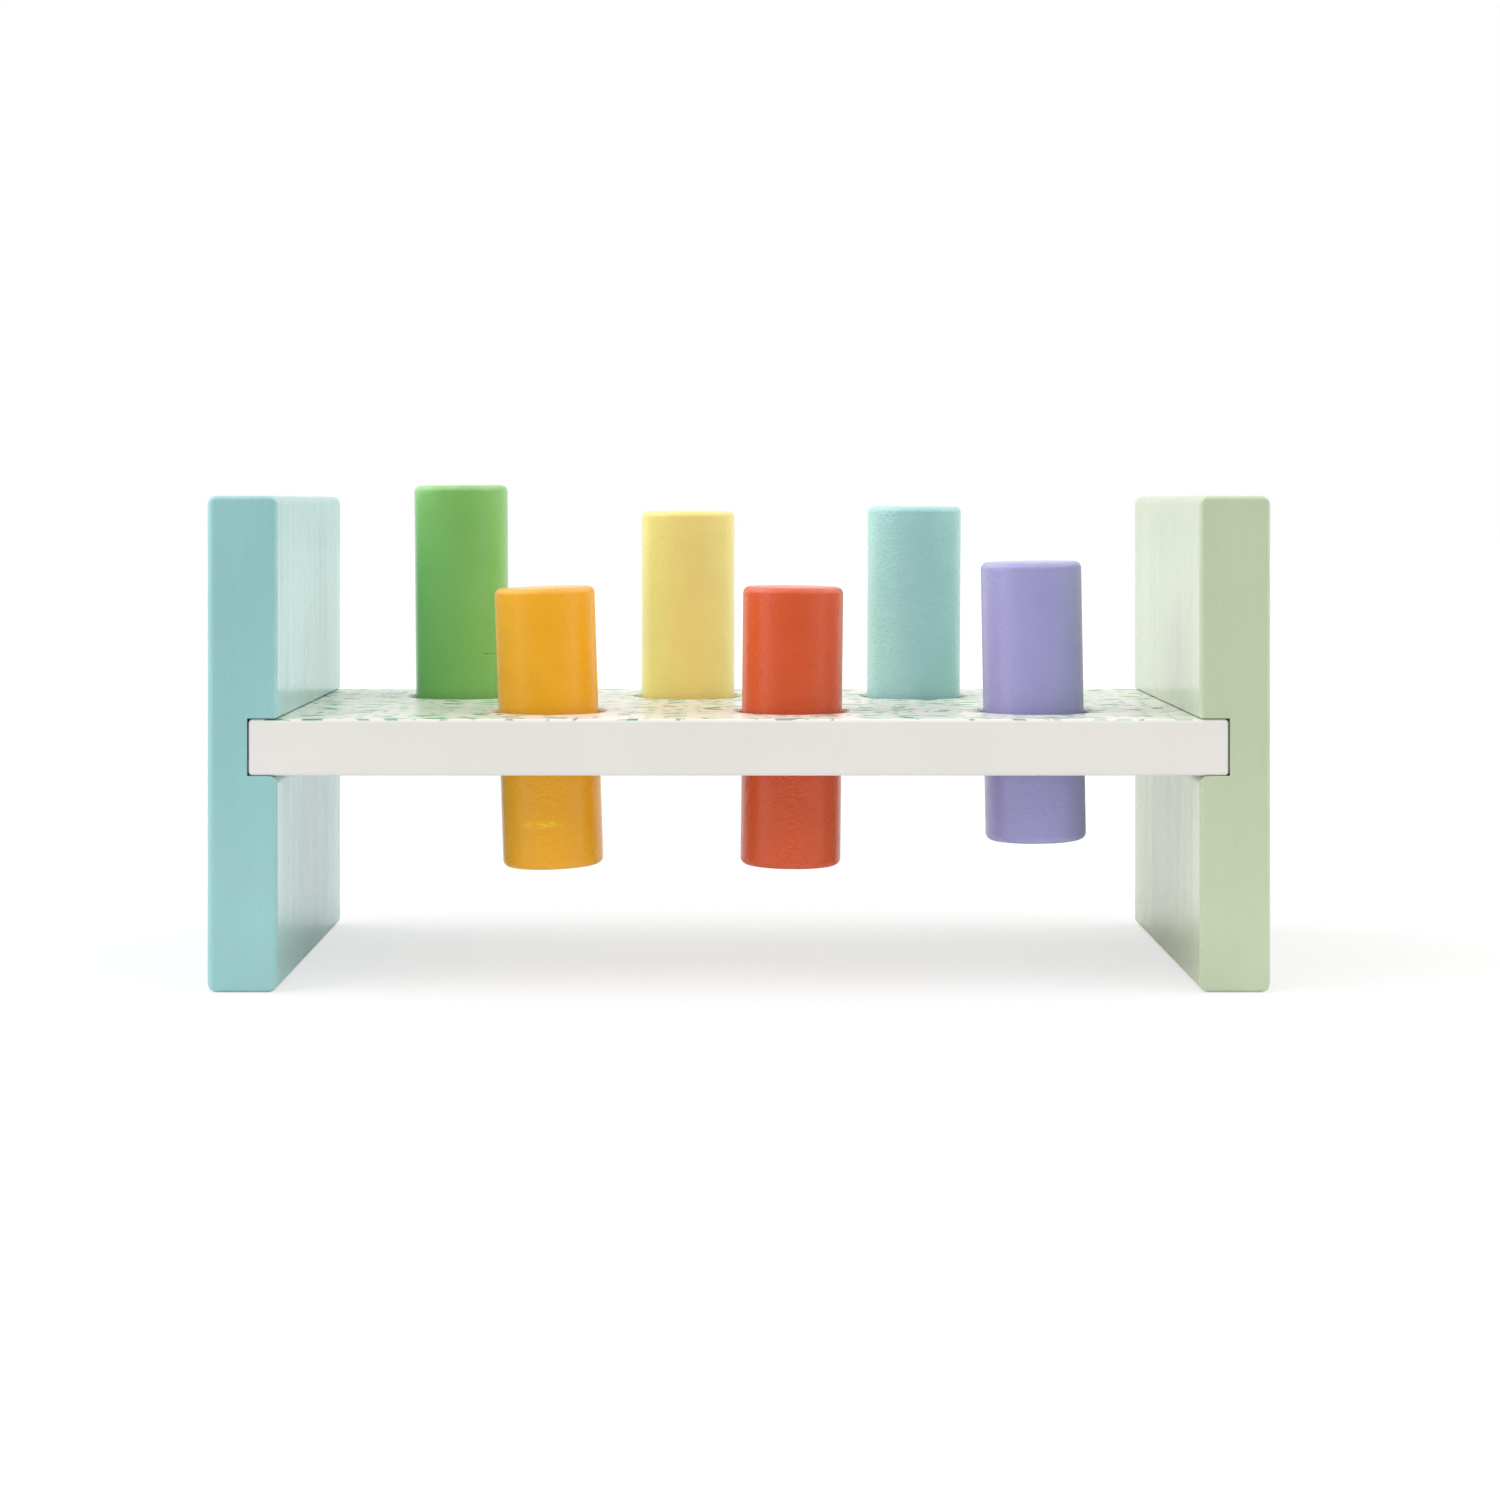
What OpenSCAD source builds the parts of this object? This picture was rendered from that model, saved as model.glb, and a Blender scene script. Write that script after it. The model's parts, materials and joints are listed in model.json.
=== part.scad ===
// A peg pounding bench: a deck with six holes stands between two end boards,
// and six solid pegs stick in the holes, held by a hidden rubber ring each.
// The origin is the middle of the footprint on the table.
// +X runs along the bench to the right, +Y to the back and +Z up.

/* [Bench] */
// Length over both end boards
bench_length = 225; // [200:1:260]
// Depth from front to back
bench_depth = 98; // [90:1:120]
// Height of the end boards
bench_height = 105; // [80:1:130]

/* [End boards] */
// Thickness of each end board
end_thickness = 15; // [13:0.5:20]
// Rounding of all edges of the end boards
end_rounding = 2; // [1:0.1:3]
// Depth of the housing that each deck end stands in
housing_depth = 6.35; // [5:0.05:7]
// Rounding of the lower lip where a housing opens
lower_lip_rounding = 2; // [0.5:0.1:2.5]
// Rounding of the upper lip where a housing opens
upper_lip_rounding = 0.4; // [0.3:0.1:2.5]

/* [Deck] */
// Height of the deck's underside above the table
deck_height = 45.8; // [40:0.1:50]
// Thickness of the deck
deck_thickness = 12; // [10:0.5:15]
// Rounding of the deck's edges
deck_rounding = 0.9; // [0.5:0.1:1.5]
// Gap between a deck end and the floor of its housing
deck_end_gap = 0.2; // [0.1:0.05:1]
// Gap between the deck's top and its housing
deck_top_gap = 0.15; // [0.1:0.05:0.6]

/* [Peg holes] */
// Diameter of each hole
hole_d = 25; // [24:0.1:25.4]
// Chamfer round the mouths of each hole
hole_chamfer = 0.5; // [0.2:0.1:1]
// Distance from the last hole's centre to the inner face of the end board
end_margin = 32.45; // [28:0.05:38]
// Distance that the front row is shifted against the back row
row_shift = 23.5; // [10:0.1:30]
// Distance from a row's centre line to the edge of the deck
row_margin = 25; // [20:0.5:30]

/* [Pegs] */
// Diameter of each peg
peg_d = 22; // [21.5:0.1:22.4]
// Length of each peg
peg_length = 61; // [58:0.5:66]
// Rounding of both ends of a peg
peg_rounding = 1.5; // [0.5:0.1:3]
// Height of the green peg above the deck
green_height = 49.8; // [8:0.1:50]
// Height of the yellow peg above the deck
yellow_height = 43.8; // [8:0.1:50]
// Height of the turquoise peg above the deck
turquoise_height = 44.9; // [8:0.1:50]
// Height of the orange peg above the deck
orange_height = 27.2; // [8:0.1:50]
// Height of the red peg above the deck
red_height = 27.3; // [8:0.1:50]
// Height of the purple peg above the deck
purple_height = 32.8; // [8:0.1:50]
// Lean of the green peg to the left, in degrees
green_lean = 0.5; // [-2:0.1:2]
// Lean of the yellow peg to the left, in degrees
yellow_lean = 0; // [-2:0.1:2]
// Lean of the turquoise peg to the left, in degrees
turquoise_lean = -0.3; // [-2:0.1:2]
// Lean of the orange peg to the left, in degrees
orange_lean = 1.9; // [-2:0.1:2]
// Lean of the red peg to the left, in degrees
red_lean = -0.6; // [-2:0.1:2]
// Lean of the purple peg to the left, in degrees
purple_lean = 1; // [-2:0.1:2]

/* [Grip rings] */
// Thickness of the rubber of a ring
ring_section = 3.5; // [3:0.1:4]
// Gap between a ring and its peg
ring_running_gap = 0.05; // [0.02:0.01:0.1]
// Overlap of a ring with the bottom of its groove, where the rubber is squeezed
ring_squeeze = 0.1; // [0.05:0.05:0.2]
// Room for a ring between the two sides of its groove
groove_side_gap = 0.1; // [0.05:0.05:0.3]

/* [Dowels] */
// Diameter of each dowel
dowel_d = 6; // [5:0.5:7]
// Length of each dowel
dowel_length = 22; // [18:0.5:24]
// Depth of a dowel in the end board, past the floor of the housing
dowel_in_end = 5.5; // [4:0.5:6.5]
// Distance from a dowel to the edge of the deck
dowel_margin = 24; // [12:1:34]
// Room for glue at each end of a dowel
dowel_end_gap = 0.5; // [0.2:0.1:1]
// Overlap of a dowel with its hole, where the wood is squeezed
dowel_squeeze = 0.05; // [0.02:0.01:0.1]
// Chamfer of both ends of a dowel
dowel_chamfer = 0.8; // [0.4:0.1:1.2]

/* [Hidden] */
$fn = 96;

// How far a cut runs past the face that it opens
overrun = 1;
// Facets of a full turn of the boards' rounded edges
rounding_facets = 32;
// Facets of a quarter turn of a housing's rounded lip
lip_facets = 8;

// Paint colours
TURQUOISE_BLUE = [0.58, 0.77, 0.77];
SAGE_GREEN = [0.74, 0.80, 0.67];
WHITE_LACQUER = [0.92, 0.91, 0.89];
RUBBER_BLACK = [0.12, 0.12, 0.12];
BARE_WOOD = [0.86, 0.74, 0.56];

// Sides of the bench, as factors on X and Y
LEFT = -1;
RIGHT = 1;
FRONT = -1;
BACK = 1;

deck_top = deck_height + deck_thickness;
deck_middle = deck_height + deck_thickness / 2;
inner_face = bench_length / 2 - end_thickness;
housing_floor = inner_face + housing_depth;
deck_length = 2 * (housing_floor - deck_end_gap);
row_y = bench_depth / 2 - row_margin;
dowel_y = bench_depth / 2 - dowel_margin;
hole_pitch = inner_face - end_margin - row_shift / 2;

peg_r = peg_d / 2;
hole_r = hole_d / 2;
ring_inner_r = peg_r + ring_running_gap;
ring_outer_r = ring_inner_r + ring_section;
groove_r = ring_outer_r - ring_squeeze;
groove_height = ring_section + 2 * groove_side_gap;
dowel_hole_r = dowel_d / 2 - dowel_squeeze;

// One row for each peg: its place along the row, its row, its height above the deck,
// its lean to the left and its colour
PEGS = [
    ["green", -1, BACK, green_height, green_lean, [0.46, 0.69, 0.38]],
    ["yellow", 0, BACK, yellow_height, yellow_lean, [0.92, 0.80, 0.44]],
    ["turquoise", 1, BACK, turquoise_height, turquoise_lean, [0.58, 0.76, 0.73]],
    ["orange", -1, FRONT, orange_height, orange_lean, [0.89, 0.65, 0.17]],
    ["red", 0, FRONT, red_height, red_lean, [0.80, 0.36, 0.21]],
    ["purple", 1, FRONT, purple_height, purple_lean, [0.60, 0.58, 0.76]]
];

function hole_place(peg) = [
    peg[1] * hole_pitch - peg[2] * row_shift / 2,
    peg[2] * row_y,
    deck_middle
];

// A ball whose poles and equator lie at its full radius
module ball(radius) {
    rotate_extrude($fn = rounding_facets)
        intersection() {
            circle(radius, $fn = rounding_facets);
            translate([0, -radius])
                square([radius, 2 * radius]);
        }
}

// A board with all edges rounded, standing on z = 0 and centred on the other axes
module rounded_board(size, radius) {
    hull()
        for (x = [-1, 1], y = [-1, 1], z = [0, 1])
            translate([
                x * (size.x / 2 - radius),
                y * (size.y / 2 - radius),
                z ? size.z - radius : radius
            ])
                ball(radius);
}

// Points of a rounded lip, from the housing's side at height z out to the board's face;
// way is -1 for a lip that curves down and 1 for one that curves up
function lip(radius, z, way) = [
    for (i = [0:lip_facets])
        let (angle = 90 * i / lip_facets)
        [
            housing_depth - radius + radius * sin(angle),
            z + way * radius * (1 - cos(angle))
        ]
];

function reversed(points) = [for (i = [len(points) - 1:-1:0]) points[i]];

// Outline of a housing: x = 0 is its floor, and it opens at x = housing_depth
function housing_outline() =
    let (
        top = deck_top + deck_top_gap,
        mouth = housing_depth + overrun
    )
    concat(
        [[0, top], [0, deck_height]],
        lip(lower_lip_rounding, deck_height, -1),
        [
            [mouth, deck_height - lower_lip_rounding],
            [mouth, top + upper_lip_rounding]
        ],
        reversed(lip(upper_lip_rounding, top, 1))
    );

// A bar along X that starts at x, as a dowel or its hole
module bar_along_x(x, length, radius) {
    translate([x, 0, 0])
        rotate([0, 90, 0])
            cylinder(h = length, r = radius);
}

// Places its children at both dowels of the right end
module at_right_dowels() {
    for (side = [FRONT, BACK])
        translate([0, side * dowel_y, deck_middle])
            children();
}

// The right end board: a slab with a housing across its inner face and two blind holes
module end_board() {
    difference() {
        translate([bench_length / 2 - end_thickness / 2, 0, 0])
            rounded_board([end_thickness, bench_depth, bench_height], end_rounding);
        translate([housing_floor, bench_depth / 2 + overrun, 0])
            rotate([90, 0, 0])
                mirror([1, 0, 0])
                    linear_extrude(bench_depth + 2 * overrun)
                        polygon(housing_outline());
        at_right_dowels()
            bar_along_x(
                housing_floor - overrun,
                overrun + dowel_in_end + dowel_end_gap,
                dowel_hole_r
            );
    }
}

module left_end_board() {
    color(TURQUOISE_BLUE)
        mirror([1, 0, 0])
            end_board();
}

module right_end_board() {
    color(SAGE_GREEN)
        end_board();
}

// A peg hole through the deck: a bore with chamfered mouths and a groove for its ring
module peg_hole() {
    cylinder(h = deck_thickness + 2 * overrun, r = hole_r, center = true);
    cylinder(h = groove_height, r = groove_r, center = true);
    for (face = [-1, 1])
        mirror([0, 0, face < 0 ? 1 : 0])
            translate([0, 0, deck_thickness / 2 - hole_chamfer])
                cylinder(
                    h = hole_chamfer + overrun,
                    r1 = hole_r,
                    r2 = hole_r + hole_chamfer + overrun
                );
}

// The deck: a board with six peg holes and two blind dowel holes in each end
module bench_board() {
    hole_depth = dowel_length - dowel_in_end - deck_end_gap + dowel_end_gap;
    color(WHITE_LACQUER)
        difference() {
            translate([0, 0, deck_height])
                rounded_board([deck_length, bench_depth, deck_thickness], deck_rounding);
            for (peg = PEGS)
                translate(hole_place(peg))
                    peg_hole();
            for (side = [LEFT, RIGHT])
                mirror([side == LEFT ? 1 : 0, 0, 0])
                    at_right_dowels()
                        bar_along_x(
                            deck_length / 2 - hole_depth,
                            hole_depth + overrun,
                            dowel_hole_r
                        );
        }
}

// Half the outline of a peg, which is turned round its axis from z = 0 up
module peg_outline() {
    square([peg_r - peg_rounding, peg_length]);
    translate([0, peg_rounding])
        square([peg_r, peg_length - 2 * peg_rounding]);
    for (z = [peg_rounding, peg_length - peg_rounding])
        translate([peg_r - peg_rounding, z])
            circle(peg_rounding);
}

// A turned peg in its hole, leaning about the middle of the deck's thickness
module peg(peg) {
    below_middle = peg_length - peg[3] - deck_thickness / 2;
    color(peg[5])
        translate(hole_place(peg))
            rotate([0, -peg[4], 0])
                translate([0, 0, -below_middle])
                    rotate_extrude()
                        peg_outline();
}

// A round rubber ring, squeezed into the groove of its hole
module ring(peg) {
    color(RUBBER_BLACK)
        translate(hole_place(peg))
            rotate_extrude()
                translate([ring_inner_r + ring_section / 2, 0])
                    circle(d = ring_section);
}

// A dowel with chamfered ends, half way up the deck, from the end board into the deck
module dowel(side, row) {
    start = housing_floor + dowel_in_end - dowel_length;
    chamfered_r = dowel_d / 2 - dowel_chamfer;
    color(BARE_WOOD)
        mirror([side == LEFT ? 1 : 0, 0, 0])
            translate([start, row * dowel_y, deck_middle])
                rotate([0, 90, 0])
                    rotate_extrude()
                        polygon([
                            [0, 0],
                            [chamfered_r, 0],
                            [dowel_d / 2, dowel_chamfer],
                            [dowel_d / 2, dowel_length - dowel_chamfer],
                            [chamfered_r, dowel_length],
                            [0, dowel_length]
                        ]);
}

bench_board();
left_end_board();
right_end_board();
for (p = PEGS) {
    peg(p);
    ring(p);
}
dowel(LEFT, FRONT);  // left_front_dowel
dowel(LEFT, BACK);  // left_back_dowel
dowel(RIGHT, FRONT);  // right_front_dowel
dowel(RIGHT, BACK);  // right_back_dowel
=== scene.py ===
import json
import math

import bmesh
import bpy
from bpy.props import FloatProperty, FloatVectorProperty, IntProperty, PointerProperty
from mathutils import Matrix, Vector


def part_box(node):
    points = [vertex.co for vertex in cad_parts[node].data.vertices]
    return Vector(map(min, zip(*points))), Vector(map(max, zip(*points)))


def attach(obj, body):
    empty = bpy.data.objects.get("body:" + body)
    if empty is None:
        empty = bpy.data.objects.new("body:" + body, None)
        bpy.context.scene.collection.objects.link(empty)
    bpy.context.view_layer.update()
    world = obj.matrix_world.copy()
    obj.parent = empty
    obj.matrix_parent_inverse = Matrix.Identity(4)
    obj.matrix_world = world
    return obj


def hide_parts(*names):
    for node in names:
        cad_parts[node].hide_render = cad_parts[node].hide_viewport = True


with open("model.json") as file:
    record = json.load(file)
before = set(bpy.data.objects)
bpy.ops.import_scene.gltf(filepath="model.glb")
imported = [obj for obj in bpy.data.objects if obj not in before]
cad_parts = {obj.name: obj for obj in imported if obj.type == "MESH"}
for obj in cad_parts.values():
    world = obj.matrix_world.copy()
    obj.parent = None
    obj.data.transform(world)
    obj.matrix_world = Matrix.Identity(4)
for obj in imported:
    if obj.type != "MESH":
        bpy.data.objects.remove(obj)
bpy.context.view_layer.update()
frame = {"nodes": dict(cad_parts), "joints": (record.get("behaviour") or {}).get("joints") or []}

bl_info = {
    "name": "Peg Pounding Bench",
    "version": (1, 0, 0),
    "blender": (4, 5, 0),
    "location": "3D View > Sidebar > Pounding Bench",
    "description": "Painted boards and pegs of a pounding bench, on a white studio floor",
    "category": "Object",
}

MM = 0.001
BENCH_BODY = "bench"
PEG_NAMES = ("green", "yellow", "turquoise", "orange", "red", "purple")
WHITE = (1.0, 1.0, 1.0)


def srgb(red, green, blue):
    """A colour as the eye sees it, 0 to 255, turned into the light that Blender counts in"""
    shares = [value / 255 for value in (red, green, blue)]
    return tuple(s / 12.92 if s <= 0.04045 else ((s + 0.055) / 1.055) ** 2.4 for s in shares)


# Sizes and colours that a user would change

def length(label, text, millimetres, lowest=0.0):
    """A length, given in millimetres"""
    return FloatProperty(
        name=label, description=text, default=millimetres * MM, min=lowest * MM,
        unit="LENGTH", precision=5,
    )


def share(label, text, value):
    """A number from 0 to 1"""
    return FloatProperty(
        name=label, description=text, default=value, min=0.0, max=1.0, subtype="FACTOR",
    )


def strength(label, text, value):
    """A number of 0 or more"""
    return FloatProperty(name=label, description=text, default=value, min=0.0)


def angle(label, text, degrees):
    """An angle, given in degrees"""
    return FloatProperty(
        name=label, description=text, default=math.radians(degrees), unit="ROTATION",
    )


def colour(label, text, *seen):
    """A colour, given as the eye sees it, 0 to 255"""
    return FloatVectorProperty(
        name=label, description=text, default=srgb(*seen), size=3, min=0.0, max=1.0,
        subtype="COLOR",
    )


class BoardSettings(bpy.types.PropertyGroup):
    """Sizes and colours of the two end boards"""
    edge_rounding: length(
        "Edge rounding", "Radius of the edges from front to back, and round the left outer face", 2.0)
    face_rounding: length(
        "Face rounding", "Radius of the other edges round the front and back faces", 1.0)
    lower_lip: length("Lower lip", "Radius of the housing's lower lip at the inner face", 2.0)
    upper_lip: length("Upper lip", "Radius of the housing's upper lip at the inner face", 0.4)
    housing_edge: length(
        "Housing edge", "Radius of the housing's edges on the front and back", 0.12)
    deck_end_gap: length("End gap", "Gap between the deck's end and the housing's floor", 0.2)
    deck_top_gap: length("Top gap", "Gap between the deck's top and its housing", 0.15)
    segments: IntProperty(
        name="Segments", description="Steps in each rounded edge", default=8, min=2)
    left_colour: colour("Left colour", "Paint of the left end board", 151, 201, 201)
    right_colour: colour("Right colour", "Paint of the right end board", 194, 207, 175)


class DeckSettings(bpy.types.PropertyGroup):
    """Sizes and colours of the deck and its printed top"""
    edge_rounding: length("Edge rounding", "Radius of the deck's edges", 0.9)
    hole_radius: length("Hole radius", "Radius of a peg hole", 12.5)
    hole_chamfer: length("Hole chamfer", "Chamfer at both mouths of a hole", 0.5)
    groove_room: length("Groove room", "Room above and below a ring in its groove", 0.1)
    ring_squeeze: length("Ring squeeze", "Depth that a ring is squeezed into its groove", 0.1)
    lacquer: colour("Lacquer", "White lacquer of the deck", 232, 229, 225)
    print_ground: colour("Print ground", "Ground of the print on the deck's top", 238, 237, 228)
    leaf_green: colour("Leaf green", "Strongest colour of the printed leaves", 70, 158, 92)
    leaf_grey: colour("Leaf grey", "Grey green of the printed leaves", 140, 176, 152)
    leaf_pale: colour("Leaf pale", "Palest colour of the printed leaves", 182, 216, 190)
    dash_grey: colour("Dash grey", "Colour of the small printed dashes", 150, 164, 158)


class PegSettings(bpy.types.PropertyGroup):
    """Sizes and colours of the six pegs"""
    end_rounding: length("End rounding", "Radius of both rims of a peg", 1.5)
    rim_margin: length("Rim margin", "Width of the flat loop inside a peg's rounded rim", 0.5)
    green: colour("Green", "Paint of the green peg", 135, 198, 107)
    yellow: colour("Yellow", "Paint of the yellow peg", 255, 232, 140)
    turquoise: colour("Turquoise", "Paint of the turquoise peg", 170, 220, 221)
    orange: colour("Orange", "Paint of the orange peg", 245, 174, 30)
    red: colour("Red", "Paint of the red peg", 216, 88, 46)
    purple: colour("Purple", "Paint of the purple peg", 161, 158, 209)


class FinishSettings(bpy.types.PropertyGroup):
    """How deep the paint's texture is and how glossy the surfaces are"""
    grain_depth: length(
        "Grain depth", "Height of the wood grain that shows through the boards' paint", 0.035)
    peel_depth: length(
        "Orange peel depth", "Usual height of the orange peel in the pegs' sprayed paint", 0.09)
    board_roughness: share("Board roughness", "Roughness of the end boards' satin paint", 0.18)
    paint_roughness: share(
        "Paint roughness", "Roughness of the pegs' paint and of the deck's sides and underside", 0.23)
    lacquer_roughness: share(
        "Lacquer roughness", "Roughness of the lacquer on the deck's top", 0.28)
    rubber_colour: colour("Rubber", "Colour of the grip rings", 44, 44, 44)
    wood_colour: colour("Bare wood", "Colour of the dowels", 222, 190, 146)


class StageSettings(bpy.types.PropertyGroup):
    """Floor, light and camera"""
    floor_size: length("Floor size", "Length of the floor to each side and to the back", 6000.0)
    floor_front: length(
        "Floor front", "Length of the floor from the bench's middle towards the viewer", 372.0)
    floor_white: share(
        "Floor white", "How much of the light the floor throws back to the pieces", 0.95)
    floor_seen: share(
        "Floor seen", "How much of the light the floor shows, and so how dark shadows are", 0.38)
    floor_glow: share(
        "Floor glow", "White that the floor shows on top of the light on it", 0.61)
    floor_mirrored: share(
        "Floor mirrored", "How far glossy reflections show the floor as the camera does", 0.3)
    sky_light: share("Sky light", "Strength of the sky's light that falls on the pieces", 0.665)
    side_light: strength("Side light", "How much brighter the sky's light is at the sides", 0.9)
    front_light: share(
        "Front light", "Strength of the sky's light from the front, against elsewhere", 0.55)
    back_light: share(
        "Back light", "Strength of the sky's light from behind, against the sides", 0.85)
    left_wall: strength(
        "Left wall", "How much brighter than white the left side is in reflections", 0.9)
    right_wall: strength(
        "Right wall", "How much brighter than white the right side is in reflections", 0.25)
    front_wall: share("Front wall", "Strength of the dim front side in reflections", 0.1)
    ceiling: strength(
        "Ceiling", "How much brighter than white the ceiling is in reflections", 0.75)
    left_light: strength("Left light", "Strength of the soft light at the upper left", 1.35)
    right_light: strength("Right light", "Strength of the soft light at the upper right", 0.65)
    light_tilt: angle("Light tilt", "How far both lights are from overhead", 42)
    light_turn: angle(
        "Light turn", "How far both lights are turned from the front to the side", 79)
    light_softness: angle("Light softness", "Angle over which each light spreads", 70)
    camera_side: length("Camera side", "Place of the camera along X", -1.5, -1000.0)
    camera_distance: length(
        "Camera distance", "Distance of the camera in front of the bench's middle", 651.0)
    camera_height: length("Camera height", "Height of the camera above the floor", 103.7)
    camera_lens: FloatProperty(
        name="Lens", description="Focal length in millimetres", default=68.4, min=1.0,
        unit="CAMERA")
    shift_side: FloatProperty(
        name="Side shift", description="Shift of the frame to the right", default=0.0124)
    shift_up: FloatProperty(
        name="Upward shift", description="Shift of the frame upwards", default=-0.1654)


class BenchSettings(bpy.types.PropertyGroup):
    """All settings of the pounding bench"""
    boards: PointerProperty(type=BoardSettings)
    deck: PointerProperty(type=DeckSettings)
    pegs: PointerProperty(type=PegSettings)
    finish: PointerProperty(type=FinishSettings)
    stage: PointerProperty(type=StageSettings)


def settings():
    """The settings that the open scene holds"""
    return bpy.context.scene.pounding_bench


# Building node trees

# The span of a noise's values that holds most of them
MOST_OF_NOISE = (0.3, 0.7)


class Tree:
    """Adds nodes to one node tree

    A value may be a number, a vector, a colour or another node's socket.
    """

    def __init__(self, tree):
        self.tree = tree

    def add(self, kind, **choices):
        node = self.tree.nodes.new(kind)
        for name, value in choices.items():
            setattr(node, name, value)
        return node

    def feed(self, socket, value):
        """Links the socket to another one, or sets its own value"""
        if isinstance(value, bpy.types.NodeSocket):
            self.tree.links.new(value, socket)
        elif socket.type == "RGBA" and len(value) == 3:
            socket.default_value = (*value, 1.0)
        else:
            socket.default_value = value

    def feed_all(self, node, values):
        for label, value in values.items():
            self.feed(node.inputs[label], value)

    def math(self, operation, *values, clamp=False):
        node = self.add("ShaderNodeMath", operation=operation, use_clamp=clamp)
        for socket, value in zip(node.inputs, values):
            self.feed(socket, value)
        return node.outputs["Value"]

    def toward(self, mask, value):
        """1 where the mask is 0, and the value where the mask is 1"""
        return self.math("MULTIPLY_ADD", mask, value - 1.0, 1.0)

    def vector_math(self, operation, *values):
        node = self.add("ShaderNodeVectorMath", operation=operation)
        vectors = [socket for socket in node.inputs if socket.type == "VECTOR"]
        for socket, value in zip(vectors, values):
            self.feed(socket, value)
        return node.outputs

    def scaled(self, vector, factors):
        return self.vector_math("MULTIPLY", vector, factors)["Vector"]

    def minus(self, vector, other):
        return self.vector_math("SUBTRACT", vector, other)["Vector"]

    def length(self, vector):
        return self.vector_math("LENGTH", vector)["Value"]

    def mix(self, factor, first, second):
        node = self.add("ShaderNodeMix", data_type="RGBA")
        self.feed_all(node, {"Factor": factor, "A": first, "B": second})
        return node.outputs["Result"]

    def between(self, value, low, high, new_low=0.0, new_high=1.0):
        """Runs smoothly from new_low to new_high while value runs from low to high"""
        node = self.add("ShaderNodeMapRange", interpolation_type="SMOOTHSTEP")
        self.feed_all(node, {
            "Value": value, "From Min": low, "From Max": high, "To Min": new_low, "To Max": new_high,
        })
        return node.outputs["Result"]

    def noise(self, vector, scale, detail=2.0, roughness=0.5):
        """A noise with its details per metre as one number, or as one for each axis"""
        if isinstance(scale, tuple):
            vector, scale = self.scaled(vector, scale), 1.0
        node = self.add("ShaderNodeTexNoise")
        self.feed_all(node, {
            "Vector": vector, "Scale": scale, "Detail": detail, "Roughness": roughness,
        })
        return node.outputs["Fac"]

    def cells(self, vector, scale, randomness=1.0, dimensions="3D"):
        node = self.add("ShaderNodeTexVoronoi", voronoi_dimensions=dimensions)
        self.feed_all(node, {"Vector": vector, "Scale": scale, "Randomness": randomness})
        return node.outputs

    def split(self, vector):
        node = self.add("ShaderNodeSeparateXYZ")
        self.feed(node.inputs["Vector"], vector)
        return node.outputs["X"], node.outputs["Y"], node.outputs["Z"]

    def split_colour(self, colour_value):
        node = self.add("ShaderNodeSeparateColor")
        self.feed(node.inputs["Color"], colour_value)
        return node.outputs["Red"], node.outputs["Green"], node.outputs["Blue"]

    def group(self, name, **values):
        """Uses a node group of GROUP_MAKERS, which is made when it is first asked for"""
        if name not in bpy.data.node_groups:
            GROUP_MAKERS[name](name)
        node = self.add("ShaderNodeGroup", node_tree=bpy.data.node_groups[name])
        self.feed_all(node, values)
        return node.outputs

    def object_point(self):
        return self.add("ShaderNodeTexCoord").outputs["Object"]


def blank_tree(owner):
    """Empties the node tree of a new material or world"""
    owner.use_nodes = True
    owner.node_tree.nodes.clear()
    return Tree(owner.node_tree)


SOCKETS = {"vector": "NodeSocketVector", "number": "NodeSocketFloat"}


def start_group(name, inputs, outputs):
    """A node group with named sockets

    Returns its tree, its inputs and a function that sets an output.
    """
    group = bpy.data.node_groups.new(name, "ShaderNodeTree")
    for direction, sockets in (("INPUT", inputs), ("OUTPUT", outputs)):
        for label, kind in sockets.items():
            group.interface.new_socket(label, in_out=direction, socket_type=SOCKETS[kind])
    tree = Tree(group)
    given = tree.add("NodeGroupInput").outputs
    results = tree.add("NodeGroupOutput").inputs

    def give(label, value):
        tree.feed(results[label], value)

    return tree, given, give


# Effects that several materials use

# Details of the grain per metre, across it twice and along it
FIBRES = (2200.0, 2200.0, 40.0)
BANDS = (260.0, 260.0, 9.0)
GROWTH_RINGS = (420.0, 420.0, 6.0)

# A growth ring's line lies where its noise is near 0.5, up to this far from it
GROWTH_LINE = 0.04

# Heights of the growth rings' lines and of the bands, against the fibres
LINE_HEIGHT = 0.7
BAND_HEIGHT = 0.2


def make_grain_group(name):
    """Fine wood fibres along Z, broader bands and the thin lines of growth rings"""
    outputs = {"Height": "number", "Band": "number"}
    tree, given, give = start_group(name, {"Vector": "vector"}, outputs)
    fibres = tree.noise(given["Vector"], FIBRES, roughness=0.6)
    bands = tree.noise(given["Vector"], BANDS)
    rings = tree.noise(given["Vector"], GROWTH_RINGS, 1.0)
    off_line = tree.math("ABSOLUTE", tree.math("SUBTRACT", rings, 0.5))
    lines = tree.between(off_line, 0.0, GROWTH_LINE, 1.0, 0.0)
    low_bands = tree.math("MULTIPLY", bands, BAND_HEIGHT)
    broad = tree.math("MULTIPLY_ADD", lines, LINE_HEIGHT, low_bands)
    give("Height", tree.math("ADD", fibres, broad))
    give("Band", bands)


# Ripples per metre of sprayed paint, and the height of the broad ones against the fine ones
FINE_RIPPLES = 1700.0
BROAD_RIPPLES = 600.0
BROAD_HEIGHT = 0.8


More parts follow.
